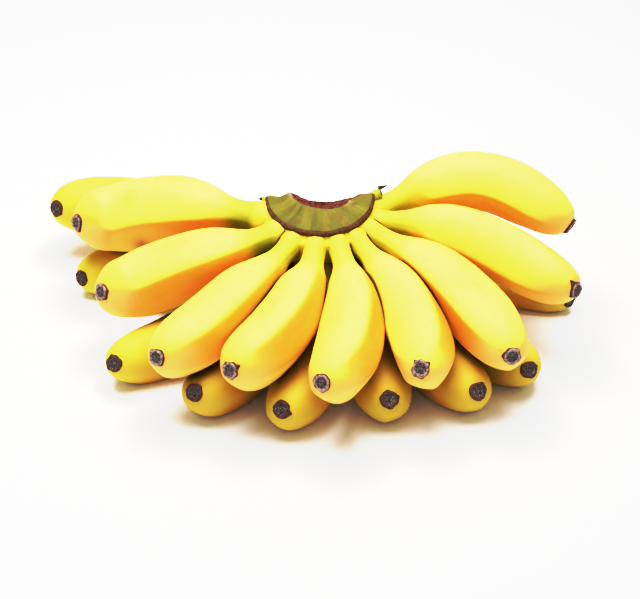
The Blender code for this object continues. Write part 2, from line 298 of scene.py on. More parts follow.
# How the crown's parts follow each other, as shares of the outline's length or as headings.
PART_BLEND = 0.004
BACK_CUT_BLEND = 0.05
CUT_BLEND = (0.012, 0.002)
RING_FADES = (118, 106)
BACK_CUT_STARTS = (104, 116)
RING_EDGE_WIDTH = 0.0035
CUT_EDGE_WIDTH = 0.006
LIP_WIDTH = 0.018
LIP_HEADING = 88
LIP_SPREAD = 26
# Layers of roughness: how high they stand, the size of their lumps, and their seeds.
RING_OUTWARD = ((0.00012, 0.0030, 71), (0.00008, 0.0009, 72))
RING_UPWARD = ((0.00008, 0.0024, 73),)
FLANK_STREAKS = ((0.00004, 0.0011, 74),)
FLANK_LUMPS = ((0.0003, 0.006, 75),)
CUT_LUMPS = ((0.0004, 0.0022, 76), (0.00022, 0.0009, 77))
DIP_LUMPS = ((0.0003, 0.0022, 78),)
# The flank's streaks run outward: the radius and length of the tube on which they are drawn, and how much
# they are stretched along it.
POLAR_RADIUS = 0.016
POLAR_LENGTH = 0.03
STREAK_STRETCH = np.array((1, 1, 0.12))

# The undeveloped fingers at the crown's ends, the right one with a dried tip of its own. Each is a bent peg:
# points of its middle, and its radii.
STUB_POINTS = (
    (0.0235, 0.0028, 0.0684),
    (0.0265, 0.0036, 0.0700),
    (0.0292, 0.0044, 0.0714),
    (0.0314, 0.0050, 0.0724),
)
STUB_RADII = (0.0025, 0.0023, 0.0023, 0.0024)
TIP_POINTS = (
    (0.0298, 0.0050, 0.0741),
    (0.0312, 0.0051, 0.0746),
    (0.0324, 0.0052, 0.0749),
    (0.0340, 0.0053, 0.0758),
)
TIP_RADII = (0.0012, 0.0010, 0.0007, 0.0003)
BUD_POINTS = (
    (-0.0262, 0.0008, 0.0690),
    (-0.0284, 0.0008, 0.0700),
    (-0.0298, 0.0008, 0.0704),
    (-0.0312, 0.0008, 0.0702),
)
BUD_RADII = (0.0016, 0.0015, 0.0010, 0.0004)
# A peg's end is rounded over this share of its length, down to this share of its radius, squared.
PEG_ROUNDED = 0.06
PEG_CLOSED = 0.02
PEG_LUMPS = 0.05
PEG_LUMP_SIZE = 0.0016
PEG_PATTERN_LENGTH = 0.01

# How finely each kind of piece is divided, round and along.
PEEL_SIDES = 96
PEEL_BANDS = 150
END_SIDES = 80
END_BANDS = 40
CROWN_SIDES = 340
CROWN_BANDS = 260
PEG_SIDES = 36
PEG_BANDS = 40
# A peel's bands follow a half wave, which draws them together at both ends: where on it they start, and the
# power that moves them a little toward the tip.
BAND_START = 0.06
BAND_POWER = 0.9
# An outline's corners are rounded once for so many bands.
BANDS_PER_ROUNDING = 30
# Samples of a spine, for its length and for what it presses on, and steps that find where skins touch.
WALK_SAMPLES = 400
SPINE_SAMPLES = 60
HALVINGS = 14
TINY = 1e-12

# The seeds of the random draws: the fingers' own, and those of the stub, the bud and the stub's tip.
SEED_STEP = 10
PEEL_SEED = 3
END_SEED = 5
STUB_SEED = 10
BUD_SEED = 8
TIP_SEED = 14
# Unevenness is a scaled sum of so many waves, each longer than the lumps by a factor in this range.
WAVE_COUNT = 28
WAVE_FACTORS = (1.2, 3.2)
WAVE_HEIGHT = 0.6
# Each piece takes its pattern from another place, this far on for each seed.
PEEL_SHIFT = np.array((0.3, 0.17, 0.0))
END_SHIFT = np.array((0.01, 0.013, 0.0))

# The photograph's view: 640 by 599 pixels, a long lens about a metre away, looking down. Its focal length
# is in pixels.
VIEW_WIDTH = 640
VIEW_FOCAL = 2000
VIEW_ELEVATION = 34
VIEW_DISTANCE = 1.0
VIEW_TARGET = np.array((0.0, -0.0445, 0.039)) + CROWN_AXIS
VIEW_REACH = 20
SENSOR = 36.0

# One large lamp above, an even white sky, and half the width of the floor.
LAMP_PLACE = (-0.06, 0.14, 1.17)
LAMP_TARGET = (0, -0.02, 0.03)
LAMP_SIZE = 1.1
LAMP_POWER = 18.3
SKY_STRENGTH = 0.30
FLOOR_HALF = 4.0
# How light is turned into the picture's tones: pairs of light and tone. Bright ones are pressed together.
TONES = (
    (0.05, 0.04),
    (0.10, 0.085),
    (0.20, 0.31),
    (0.30, 0.54),
    (0.42, 0.78),
    (0.52, 0.86),
    (0.90, 0.90),
    (1.22, 0.945),
    (1.40, 1.0),
)
TONE_WHITE = 1.5

# Colours as they look on screen in plain light: red, green and blue, from 0 to 255.
# These peel tints are painted light and shade by facing: the lemon top is a painted lit face with sheen, the
# side a painted shade, and the under colour a paler yellow painted where the peel faces down. The tip colour
# is painted light from the floor under the tip, and the crease colour painted shade where fingers meet.
PEEL_TINTS = {
    "upper": {
        "top": (240, 222, 94),
        "side": (236, 160, 54),
        "under": (226, 186, 78),
        "tip": (246, 178, 110),
        "crease_shade": (142, 104, 44),
    },
    "lower": {
        "top": (228, 194, 76),
        "side": (224, 180, 64),
        "under": (214, 168, 66),
        "tip": (212, 184, 76),
        "crease_shade": (112, 80, 36),
    },
}
TIP_OLIVE = {"upper": 0.2, "lower": 0.5}
# The most that each of the peel's layers covers of what is below it.
COVER = {
    "blush": 0.25,
    "mottling": 0.22,
    "neck": 0.8,
    "mark": 0.4,
    "amber_and_shade": 0.36,
    "crease_shade": 0.6,
    "deep_crease_shade": 0.8,
}
# Where the peel's colours come in: by station, by how far up the skin faces, or by how near a neighbour is.
# By facing they are painted light and shade, with the neck's own green, and by a neighbour painted shade.
TIP_STATIONS = (0.78, 0.97)
OLIVE_STATIONS = (0.82, 0.98)
NECK_STATIONS = (0.26, 0.12)
UNDER_RISES = (0.15, -0.45)
TIP_RISES = (0.75, 0.2)
GREEN_RISES = (0.95, 0.2)
GREEN_ON_TOP = 0.45
GREEN_TURNS = (0.2, -0.6)
DEEP_CREASE_SHADE = (0.75, 1.0)
# How noise shifts these places: the size of its lumps, and how much it adds in all.
SWAYS = {"rise": (0.02, 0.2), "side_shade": (0.012, 0.3), "along": (0.010, 0.08)}
# How lumps are stretched along a finger.
LONG_LUMPS = (1, 1, 0.3)
OVAL_LUMPS = (1, 1, 0.6)
# Small marks: the size of the cells that may hold one, the share that do, which ones, and a dot's soft edge.
MARK_CELL = 0.0040
MARKED_CELLS = 0.05
MARK_SEED = 0.3
DOT_EDGE = (0.16, 0.06)
DRIED_TINTS = {
    "upper": {"rim": (164, 142, 134), "scar": (104, 80, 72), "middle": (62, 50, 52)},
    "lower": {"rim": (104, 66, 50), "scar": (66, 42, 34), "middle": (42, 32, 32)},
}
TINTS = {
    "mottling": (216, 178, 60),
    "olive": (200, 190, 62),
    "neck": (232, 216, 74),
    "neck_green": (136, 142, 40),
    "neck_green_shade": (136, 132, 56),
    "mark": (150, 105, 40),
    "bruise": (164, 112, 48),
    "amber_and_shade": (168, 118, 52),
    "deep_crease_shade": (84, 58, 26),
    "dried_outside": (78, 42, 26),
    "dried_fleck": (150, 134, 132),
    "dried_point": (96, 40, 26),
    "collar": (234, 206, 72),
    "collar_deep": (222, 204, 66),
    "flank_dark": (96, 91, 34),
    "flank_light": (126, 117, 45),
    "flank_brown": (106, 80, 42),
    "ring_dark": (80, 48, 22),
    "ring_light": (116, 80, 42),
    "cut_dark": (56, 26, 16),
    "cut_light": (124, 70, 46),
    "lip": (148, 128, 100),
    "edge": (46, 30, 20),
    "stub_green": (150, 156, 44),
    "stub_yellow": (206, 204, 74),
    "stub_end": (70, 50, 34),
    "stub_tip_dark": (34, 26, 24),
    "stub_tip_light": (88, 66, 56),
}
# Where along its length a peg turns dark, and over how much of it. Peel and crown are duller than usual.
STUB_DARKENS = 0.86
BUD_DARKENS = 0.62
DARKENING = 0.1
DULL_SPECULAR = 0.25


def unit(v):
    return v / np.linalg.norm(v, axis=-1, keepdims=True)


def direction(heading, pitch):
    h = math.radians(heading)
    p = math.radians(pitch)
    return np.array([math.sin(h) * math.cos(p), -math.cos(h) * math.cos(p), math.sin(p)])


def ease(x, start, end):
    """Goes softly from 0 at the start to 1 at the end, which may lie below the start."""
    t = np.clip((x - start) / (end - start), 0.0, 1.0)
    return t * t * (3 - 2 * t)


def bump(x, middle, width):
    return np.exp(-(((x - middle) / width) ** 2))


def smooth_curve(x, stations, values):
    """A monotone cubic through the points, so that it never bulges between them."""
    px = np.array(stations)
    py = np.array(values)
    step = np.diff(px)
    slope = np.diff(py) / step
    knot = np.empty(len(px))
    product = slope[:-1] * slope[1:]
    knot[1:-1] = np.where(product > 0, 2 * product / (slope[:-1] + slope[1:] + TINY), 0)
    knot[0] = slope[0]
    knot[-1] = slope[-1]
    i = np.clip(np.searchsorted(px, x, side="right") - 1, 0, len(px) - 2)
    t = (x - px[i]) / step[i]
    start = (2 * t**3 - 3 * t**2 + 1) * py[i] + (t**3 - 2 * t**2 + t) * step[i] * knot[i]
    end = (3 * t**2 - 2 * t**3) * py[i + 1] + (t**3 - t**2) * step[i] * knot[i + 1]
    return start + end


def face_outline(angle):
    """How far the outline of soft flat faces lies from its middle, for angles in radians."""
    toward, distance = np.array(FACES).T
    reach = (np.maximum(np.cos(angle[..., None] - np.radians(toward)), 0.0) / distance) ** FACE_SHARPNESS
    return reach.sum(-1) ** (-1 / FACE_SHARPNESS)


OUTLINE_MEAN = face_outline(np.radians(np.arange(360))).mean()


def waves(points, size, seed):
    """Smooth unevenness with lumps of about the given size: seeded waves, in all mostly between -1 and 1."""
    rng = np.random.default_rng(seed)
    result = np.zeros(points.shape[:-1])
    for _ in range(WAVE_COUNT):
        push = unit(rng.normal(size=3)) * 2 * np.pi / (size * rng.uniform(*WAVE_FACTORS))
        result += np.sin(points @ push + rng.uniform(0, 2 * np.pi))
    return result / math.sqrt(WAVE_COUNT / 2) * WAVE_HEIGHT


def layers_of_waves(points, layers, seed=0):
    """Layers of unevenness, each given by its height, the size of its lumps and what it adds to the seed."""
    return sum(height * waves(points, size, seed + more) for height, size, more in layers)


class Body:
    """One finger's bent body: its spine, its radius along it and the frame that carries its sections."""

    def __init__(self, finger):
        self.finger = finger
        self.swellings = SWELLINGS.get((finger.row, finger.number), ())
        root = direction(finger.root, 0) * ROOT_RADIUS
        root[2] = ROOT_HEIGHT[finger.row]
        self.stem = direction(finger.heading, finger.pitch)
        self.end = direction(finger.tip_heading, finger.tip_pitch)
        tip = np.array(finger.tip) - self.end * (END_LENGTH + END_GAP)
        chord = np.linalg.norm(tip - root)
        leave = root + self.stem * chord * finger.stem_reach
        arrive = tip - self.end * chord * finger.tip_reach
        self.points = (root, leave, arrive, tip)
        self.fine = np.linspace(0, 1, WALK_SAMPLES)
        walk = np.linalg.norm(np.diff(self.place(self.fine)[0], axis=0), axis=1)
        self.length = walk.sum()
        self.shares = np.concatenate([[0], np.cumsum(walk)]) / self.length
        stations = np.linspace(0, 1, SPINE_SAMPLES)
        self.spine = self.place(np.interp(stations, self.shares, self.fine))[0]
        self.radii = self.radius(stations)

    def place(self, t):
        """Points and directions of the spine, a cubic Bezier curve."""
        a, b, c, d = self.points
        t = t[:, None]
        s = 1 - t
        point = s**3 * a + 3 * s * s * t * b + 3 * s * t * t * c + t**3 * d
        along = 3 * s * s * (b - a) + 6 * s * t * (c - b) + 3 * t * t * (d - c)
        return point, unit(along)

    def radius(self, station):
        station = np.maximum(station, 0)
        shares = smooth_curve(station, *zip(*GIRTH))
        swelling = 1 + FLARE * bump(station, 0, FLARE_REACH)
        for growth, place, reach in self.swellings:
            swelling = swelling * (1 + growth * bump(station, place, reach))
        return FINGER_RADIUS * self.finger.girth * shares * swelling

    def frame(self, station):
        """Middle, top and side of the sections. Below station 0 the finger runs straight on."""
        middle, along = self.place(np.interp(station, self.shares, self.fine))
        middle = middle + np.minimum(station, 0)[:, None] * self.length * self.stem
        top = np.array([0.0, 0.0, 1.0])
        top = unit(top - (along @ top)[:, None] * along)
        return middle, top, np.cross(along, top)

    def near(self, points, margin=BODY_GAP):
        """Which points could lie within a margin of this finger's skin."""
        reach = self.radii.max() + margin
        low = self.spine.min(0) - reach
        high = self.spine.max(0) + reach
        return ((points > low) & (points < high)).all(1)

    def clearance(self, points):
        """Distance from each point to this finger's skin, taken as round, and below zero inside it."""
        start = self.spine[:-1]
        step = np.diff(self.spine, axis=0)
        offset = points[:, None] - start
        along = np.clip((offset * step).sum(2) / (step * step).sum(1), 0, 1)
        gap = np.linalg.norm(offset - along[..., None] * step, axis=2)
        return (gap - self.radii[:-1] - along * np.diff(self.radii)).min(1)


def pressed(middle, outward, reach, others):
    """The reach of each point, drawn in where another finger or the surface below presses on it."""
    result = reach.copy()
    skin = middle + outward * reach[:, None]
    for other in others:
        crossing = other.near(skin)
        crossing[crossing] = other.clearance(skin[crossing]) < BODY_GAP
        if not crossing.any():
            continue
        low = np.zeros(crossing.sum())
        full = reach[crossing]
        high = full
        for _ in range(HALVINGS):
            trial = (low + high) / 2
            room = other.clearance(middle[crossing] + outward[crossing] * trial[:, None])
            free = trial - full + BODY_GAP <= room
            low = np.where(free, trial, low)
            high = np.where(free, high, trial)
        result[crossing] = np.minimum(result[crossing], low)
    fall = np.maximum(-outward[:, 2], TINY)
    return np.minimum(result, middle[:, 2] / fall)


def nearness(points, others, reach):
    """How near each point is to another finger: 1 where they touch, and little beyond the reach."""
    result = np.zeros(len(points))
    for other in others:
        close = other.near(points, 2 * reach)
        gap = np.maximum(other.clearance(points[close]), 0)
        result[close] = np.maximum(result[close], bump(gap, 0, reach))
    return result


def along_outline(points, count):
    """Points evenly along a rounded polyline, how far along each is, from 0 to 1, and how far its corners."""
    points = np.array(points)
    walk = np.concatenate([[0], np.cumsum(np.linalg.norm(np.diff(points, axis=0), axis=1))])
    share = np.linspace(0, 1, count)
    placed = np.stack([np.interp(share * walk[-1], walk, points[:, k]) for k in range(points.shape[1])], -1)
    for _ in range(max(1, count // BANDS_PER_ROUNDING)):
        placed[1:-1] = (placed[:-2] + 2 * placed[1:-1] + placed[2:]) / 4
    return placed, share, walk / walk[-1]


def closed_mesh(name, rings, start, end):
    """A closed skin over rings of points, with a point that closes each end."""
    bands, sides = rings.shape[:2]
    points = np.concatenate([rings.reshape(-1, 3), [start, end]])
    row = np.arange(bands - 1)[:, None] * sides
    near = np.arange(sides)[None]
    far = (near + 1) % sides
    quads = np.stack([row + near, row + far, row + sides + far, row + sides + near], -1).reshape(-1, 4)
    first = len(points) - 2
    last_row = (bands - 1) * sides
    around = [(side, (side + 1) % sides) for side in range(sides)]
    fans = [(b, a, first) for a, b in around]
    fans += [(last_row + a, last_row + b, first + 1) for a, b in around]
    mesh = bpy.data.meshes.new(name)
    mesh.from_pydata(points.tolist(), [], quads.tolist() + fans)
    mesh.update()
    mesh.shade_smooth()
    return mesh


def store(mesh, name, rings_value, start, end):
    """Keeps a number, or three, for each point of a closed_mesh."""
    values = np.asarray(rings_value, float)
    several = values.ndim == 3
    flat = values.reshape(-1, 3) if several else values.reshape(-1)
    flat = np.concatenate([flat, np.array([start, end], float).reshape((2, 3) if several else 2)])
    kind = "FLOAT_VECTOR" if several else "FLOAT"
    layer = mesh.attributes.new(name, kind, "POINT")
    layer.data.foreach_set("vector" if several else "value", flat.astype(np.float32).ravel())


def add_piece(name, mesh, material, node):
    mesh.materials.append(material)
    piece = bpy.data.objects.new(name, mesh)
    bpy.context.scene.collection.objects.link(piece)
    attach(piece, "root")
    if node:
        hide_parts(node)
    return piece


def round_angles(sides):
    return np.arange(sides) * 2 * np.pi / sides


def band_stations(start):
    """The stations of a peel's bands, from a start just below 0 to the tip."""
    along = BAND_START + (1 - BAND_START) * np.linspace(0, 1, PEEL_BANDS)
    spaced = (0.5 - 0.5 * np.cos(np.pi * along)) ** BAND_POWER
    return start + (1 - start) * (spaced - spaced[0]) / (spaced[-1] - spaced[0])


def unevenness(station, angle, straight, seed):
    """How far the grown peel stands out. Straight holds its points as on a finger that isn't bent."""
    lumps = LUMP_HEIGHT * waves(straight, LUMP_SIZE, seed) * ease(station, *LUMPS_START)[:, None]
    grain = GRAIN_HEIGHT * waves(straight, GRAIN_SIZE, seed + 1)
    at_ends = 1 - ease(station, *NECK_WRINKLES_END) + TIP_WRINKLES * ease(station, *TIP_WRINKLES_START)
    sway = WRINKLE_SWAY * waves(straight, WRINKLE_SWAY_SIZE, seed + 2)
    wrinkles = WRINKLE_HEIGHT * at_ends[:, None] * np.sin(WRINKLE_COUNT * angle + sway)
    return lumps + grain + wrinkles


def skin_rise(mesh, shape):
    """How far up the skin faces at each point of the rings: 1 is up and -1 is down."""
    normals = np.empty(len(mesh.vertices) * 3, np.float32)
    mesh.vertex_normals.foreach_get("vector", normals)
    return normals[2::3][: shape[0] * shape[1]].reshape(shape)


def painted_side_shade(station, turn, rise):
    """How far the peel has turned from its painted lit lemon to the warmer yellow of painted shade."""
    off_top = np.abs((np.degrees(turn) + 180) % 360 - 180)
    ridged = (ease(station, *RIDGE_STARTS) * ease(station, *RIDGE_ENDS))[:, None]
    by_slope = ease(rise, *SLOPE_TURNS)
    return by_slope + ridged * (ease(off_top, *RIDGE) - by_slope)


def neck_green(finger, station):
    green = NECK_GREEN.get((finger.row, finger.number), NECK_GREEN_USUAL)
    return green * (ease(station, *NECK_GREEN_STARTS) * ease(station, *NECK_GREEN_ENDS))


def bruising(body, station, angle):
    """How strongly the brown patches darken the peel at each point."""
    result = np.zeros((len(station), len(angle)))
    for row, number, place, heading, size, strength in BRUISES:
        if (row, number) == (body.finger.row, body.finger.number):
            turned = (np.degrees(angle) - heading + 180) % 360 - 180
            lengthwise = (station - place)[:, None] * body.length
            crosswise = np.radians(turned) * body.radius(station)[:, None]
            result = np.maximum(result, strength * bump(np.hypot(lengthwise, crosswise), 0, size))
    return result


def peel_piece(body, others, material, seed):
    finger = body.finger
    name = f"{finger.row}_{finger.number}"
    start = -ROOT_DEPTH / body.length
    station = band_stations(start)
    angle = round_angles(PEEL_SIDES)
    turn = angle + math.radians(finger.roll)
    middle, top, side = body.frame(station)
    outward = top[:, None] * np.cos(angle)[:, None] + side[:, None] * np.sin(angle)[:, None]
    faced = smooth_curve(station, FACE_STATIONS, FACE_SHARES[finger.row])[:, None]
    reach = body.radius(station)[:, None] * (1 + faced * (face_outline(turn) / OUTLINE_MEAN - 1))
    length = np.repeat(station[:, None] * body.length, PEEL_SIDES, 1)
    straight = np.stack([reach * np.cos(angle), reach * np.sin(angle), length], -1)
    reach = reach + unevenness(station, angle, straight, seed)
    centre = np.broadcast_to(middle[:, None], outward.shape)
    free = pressed(centre.reshape(-1, 3), outward.reshape(-1, 3), reach.reshape(-1), others)
    rings = centre + outward * free.reshape(reach.shape)[..., None]
    mesh = closed_mesh("peel_" + name, rings + CROWN_AXIS, middle[0] + CROWN_AXIS, middle[-1] + CROWN_AXIS)
    # What the material reads: places on the straightened skin, and how much each colour shows.
    store(mesh, "along", np.repeat(station[:, None], PEEL_SIDES, 1), start, 1.0)
    shift = seed * PEEL_SHIFT
    store(mesh, "skin", straight + shift, shift, shift + np.array((0, 0, body.length)))
    rise = skin_rise(mesh, reach.shape)
    store(mesh, "rise", rise, 0, 0)
    store(mesh, "side_shade", painted_side_shade(station, turn, rise), 1, 1)
    amber_and_shade = 0 if finger.row == "upper" else AMBER_AND_SHADE.get(finger.number, AMBER_AND_SHADE_USUAL)
    store(mesh, "amber_and_shade", np.full_like(rise, amber_and_shade), amber_and_shade, amber_and_shade)
    crease_shade = nearness(rings.reshape(-1, 3), others, CREASE_SHADE_REACH[finger.row])
    store(mesh, "crease_shade", crease_shade.reshape(reach.shape), 0, 0)
    store(mesh, "green", np.repeat(neck_green(finger, station)[:, None], PEEL_SIDES, 1), 0, 0)
    store(mesh, "bruise", bruising(body, station, angle), 0, 0)
    return add_piece("peel_" + name, mesh, material, "banana_" + name)


def dried_points(finger, angle):
    """How far the dried points stand out round the rim."""
    result = np.zeros(len(angle))
    for heading, length in SPIKES.get((finger.row, finger.number), ()):
        gap = (angle - math.radians(heading) + np.pi) % (2 * np.pi) - np.pi
        result += length * bump(gap, 0, SPIKE_WIDTH)
    return result


def dried_end_piece(body, material, seed):
    finger = body.finger
    name = f"{finger.row}_{finger.number}"
    profile, share, _ = along_outline(END_PROFILE, END_BANDS)
    angle = round_angles(END_SIDES)
    height = profile[:, 1:]
    outer = ease(share, *END_OUTER)[:, None]
    corners = face_outline(angle + math.radians(finger.roll)) / OUTLINE_MEAN - 1
    reach = profile[:, :1] * (1 + outer * END_CORNERS * corners)
    smooth = np.stack([reach * np.cos(angle), reach * np.sin(angle), height + 0 * reach], -1)
    spikes = dried_points(finger, angle)
    edge = bump(share, *SPIKE_PLACE)[:, None]
    ragged = layers_of_waves(smooth, [END_RAGGED], seed)
    reach = reach + edge * spikes + ragged * (END_RAGGED_INSIDE + outer)
    lift = height - edge * SPIKE_FALL * spikes + layers_of_waves(smooth, END_ROUGHNESS, seed)
    _, top, side = body.frame(np.array([1.0]))
    outward = top[0] * np.cos(angle)[:, None] + side[0] * np.sin(angle)[:, None]
    base = body.points[3] + CROWN_AXIS
    rings = base + outward * reach[..., None] + body.end * lift[..., None]
    ends = (base - body.end * END_DEPTH, base + body.end * END_DEPTH)
    mesh = closed_mesh("dried_end_" + name + "_skin", rings, *ends)
    store(mesh, "inward", np.repeat(share[:, None], END_SIDES, 1), 0, 1)
    store(mesh, "spike", edge * np.clip(spikes / SPIKE_COLOURED, 0, 1), 0, 0)
    shift = seed * END_SHIFT
    skin = np.stack([reach * np.cos(angle), reach * np.sin(angle), lift], -1)
    store(mesh, "skin", skin + shift, shift, shift)
    return add_piece("blossom_end_" + name, mesh, material, "dried_end_" + name)


def crown_parts(share, away, marks):
    """How much each point belongs to each part of the crown. Away is its heading to either side."""
    foot = marks[RING_FOOT]
    edge = marks[RING_EDGE]
    rim = marks[CUT_EDGE]
    in_front = ease(away, *RING_FADES)
    past_foot = ease(share, foot - PART_BLEND, foot + PART_BLEND)
    before_edge = ease(share, edge + PART_BLEND, edge - PART_BLEND)
    back_cut = ease(away, *BACK_CUT_STARTS) * ease(share, foot - BACK_CUT_BLEND, foot + BACK_CUT_BLEND)
    lip = (marks[CUT_LIP] + rim) / 2
    return {
        "ring": past_foot * before_edge * in_front,
        "flank": ease(share, edge - PART_BLEND, edge + PART_BLEND) + 0 * away,
        "cut": np.maximum(ease(share, rim - CUT_BLEND[0], rim + CUT_BLEND[1]), back_cut),
        "edge": np.maximum(bump(share, edge, RING_EDGE_WIDTH) * in_front, bump(share, rim, CUT_EDGE_WIDTH)),
        "lip": bump(share, lip, LIP_WIDTH) * bump(away, LIP_HEADING, LIP_SPREAD),
    }


def crown_points(radius, height, heading, share, marks):
    """The crown's turned surface, made oval and cut away behind, with its leans, its shoulder and its dip."""
    away = np.abs(np.degrees(heading))
    back = ease(away, *BACK_HEADINGS)
    oval = np.where(away < 90, np.cos(2 * heading), -1)
    r = radius * (1 - BACK_DEPTH * back) * (1 + CROWN_OVAL * oval)
    x = r * np.sin(heading)
    y = -r * np.cos(heading)
    behind = (y + np.sqrt(y * y + SLOPE_SOFTNESS**2)) / 2
    z = height - SLOPE * behind * np.clip((height - SLOPE_HEIGHT) / SLOPE_RISE, 0, 1)
    lean = np.interp(radius, LEAN_RADII, LEANS) * ease(share, marks[COLLAR], marks[RING_FOOT])
    z = z - CUT_TILT * x * ease(radius, *TILT_RADII) + lean * np.minimum(y, LEAN_BACK)
    at_right = bump(np.degrees(heading), SHOULDER_HEADING, SHOULDER_WIDTH)
    at_right = at_right * ease(share, marks[RING_FOOT], marks[RING_TOP])
    for rise, place, reach in SHOULDER:
        z = z + rise * at_right * bump(radius, place, reach)
    dip = DIP_HEIGHT + DIP_CURVE * (x - DIP_MIDDLE) ** 2 - SLOPE * behind + DIP_FRONT * np.maximum(-y, 0)
    return x, y, z, dip


def crown_piece(material):
    outline, share, marks = along_outline(CROWN_OUTLINE, CROWN_BANDS)
    heading = -np.pi + (np.arange(CROWN_SIDES) + 0.5) * 2 * np.pi / CROWN_SIDES
    radius = outline[1:-1, :1]
    height = outline[1:-1, 1:]
    share = share[1:-1, None]
    parts = crown_parts(share, np.abs(np.degrees(heading))[None], marks)
    flat = [radius * np.sin(heading), -radius * np.cos(heading)]
    turned = np.stack(flat + [np.repeat(height, CROWN_SIDES, 1)], -1)
    round_axis = [POLAR_RADIUS * np.sin(heading) + 0 * radius, POLAR_RADIUS * np.cos(heading) + 0 * radius]
    polar = np.stack(round_axis + [share * POLAR_LENGTH + 0 * heading], -1)
    radius = radius + parts["ring"] * layers_of_waves(turned, RING_OUTWARD)
    height = height + parts["ring"] * layers_of_waves(turned, RING_UPWARD)
    streaks = layers_of_waves(polar * STREAK_STRETCH, FLANK_STREAKS)
    height = height + parts["flank"] * (streaks + layers_of_waves(turned, FLANK_LUMPS))
    height = height + parts["cut"] * layers_of_waves(turned, CUT_LUMPS)
    x, y, z, dip = crown_points(radius, height, heading, share, marks)
    z = np.minimum(z, dip + layers_of_waves(turned, DIP_LUMPS))
    bottom = np.array((0, 0, CROWN_OUTLINE[0][1])) + CROWN_AXIS
    top = np.array((0, 0, CROWN_OUTLINE[-1][1])) + CROWN_AXIS
    mesh = closed_mesh("crown_skin", np.stack([x, y, z], -1) + CROWN_AXIS, bottom, top)
    for part, belongs in parts.items():
        store(mesh, part, belongs, 0, 1 if part == "cut" else 0)
    store(mesh, "skin", turned, (0, 0, 0), (0, 0, 0))
    store(mesh, "polar", polar, (0, 0, 0), (0, 0, 0))
    return add_piece("crown_skin", mesh, material, "crown")


def peg_piece(name, points, radii, material, seed, node=None):
    """A bent peg with a rounded end."""
    placed, share, marks = along_outline(points, PEG_BANDS)
    along = unit(np.gradient(placed, axis=0))
    side = unit(np.cross((0.0, 0.0, 1.0), along))
    top = np.cross(along, side)
    angle = round_angles(PEG_SIDES)
    into_end = ((share - (1 - PEG_ROUNDED)) / PEG_ROUNDED).clip(0)
    rounded = np.sqrt(np.clip(1 - into_end**2, PEG_CLOSED, 1))
    reach = (np.interp(share, marks, radii) * rounded)[:, None] + 0 * angle
    length = share[:, None] * PEG_PATTERN_LENGTH + 0 * angle
    straight = np.stack([reach * np.cos(angle), reach * np.sin(angle), length], -1)
    reach = reach * (1 + PEG_LUMPS * waves(straight, PEG_LUMP_SIZE, seed))
    outward = side[:, None] * np.cos(angle)[:, None] + top[:, None] * np.sin(angle)[:, None]
    rings = (placed[:, None] + reach[..., None] * outward)[:, ::-1] + CROWN_AXIS
    mesh = closed_mesh(name, rings, placed[0] + CROWN_AXIS, placed[-1] + CROWN_AXIS)
    store(mesh, "inward", np.repeat(share[:, None], PEG_SIDES, 1), 0, 1)
    store(mesh, "skin", rings, (0, 0, 0), (0, 0, 0))
    return add_piece(name, mesh, material, node)


def new_material(name, roughness, specular=0.5):
    material = bpy.data.materials.new(name)
    material.use_nodes = True
    shader = material.node_tree.nodes["Principled BSDF"]
    shader.inputs["Roughness"].default_value = roughness
    shader.inputs["Specular IOR Level"].default_value = specular
    return material, shader


